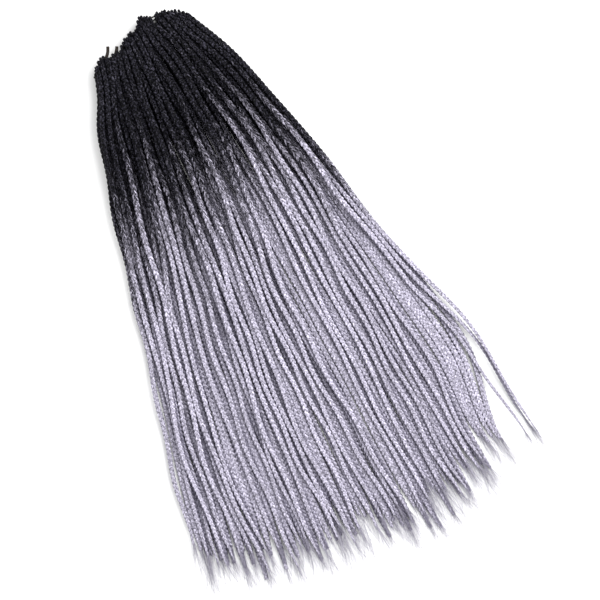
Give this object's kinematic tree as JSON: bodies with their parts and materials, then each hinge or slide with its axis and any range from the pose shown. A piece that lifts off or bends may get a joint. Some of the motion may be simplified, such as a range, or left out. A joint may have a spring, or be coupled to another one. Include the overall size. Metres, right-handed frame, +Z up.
{
  "type": "bundle of crochet box braid hair",
  "caption": "Crochet box braids gathered by their loops on a thin tie and laid out flat as a fan, dark at the roots and silver-lilac down to the loose tips.",
  "frame": {"origin": "on the table, under the middle of the bounding box of the whole fan", "axes": "+Y from the loose tips to the crochet loops, +X across the fan to the right as seen from above, +Z up from the table"},
  "size_m": [0.3874, 0.623, 0.0269],
  "materials": {
    "hair": "fine synthetic hair fibres with a soft sheen, near black at the roots and silver-lilac from a third of the length down",
    "tie_cord": "dark twisted elastic cord, dull"
  },
  "bodies": {
    "root": {"under_lock_01": "hair", "under_lock_02": "hair", "under_lock_03": "hair", "under_lock_04": "hair", "under_lock_05": "hair", "under_lock_06": "hair", "under_lock_07": "hair", "under_lock_08": "hair", "under_lock_09": "hair", "under_lock_10": "hair", "braid_01": "hair", "braid_02": "hair", "braid_03": "hair", "braid_04": "hair", "braid_05": "hair", "braid_06": "hair", "braid_07": "hair", "braid_08": "hair", "braid_09": "hair", "braid_10": "hair", "braid_11": "hair", "braid_12": "hair", "braid_13": "hair", "braid_14": "hair", "braid_15": "hair", "braid_16": "hair", "braid_17": "hair", "braid_18": "hair", "braid_19": "hair", "braid_20": "hair", "braid_21": "hair", "braid_22": "hair", "braid_23": "hair", "braid_24": "hair", "braid_25": "hair", "braid_26": "hair", "braid_27": "hair", "braid_28": "hair", "braid_29": "hair", "braid_30": "hair", "braid_31": "hair", "braid_32": "hair", "braid_33": "hair", "braid_34": "hair", "braid_35": "hair", "braid_36": "hair", "tie": "tie_cord"}
  },
  "joints": []
}
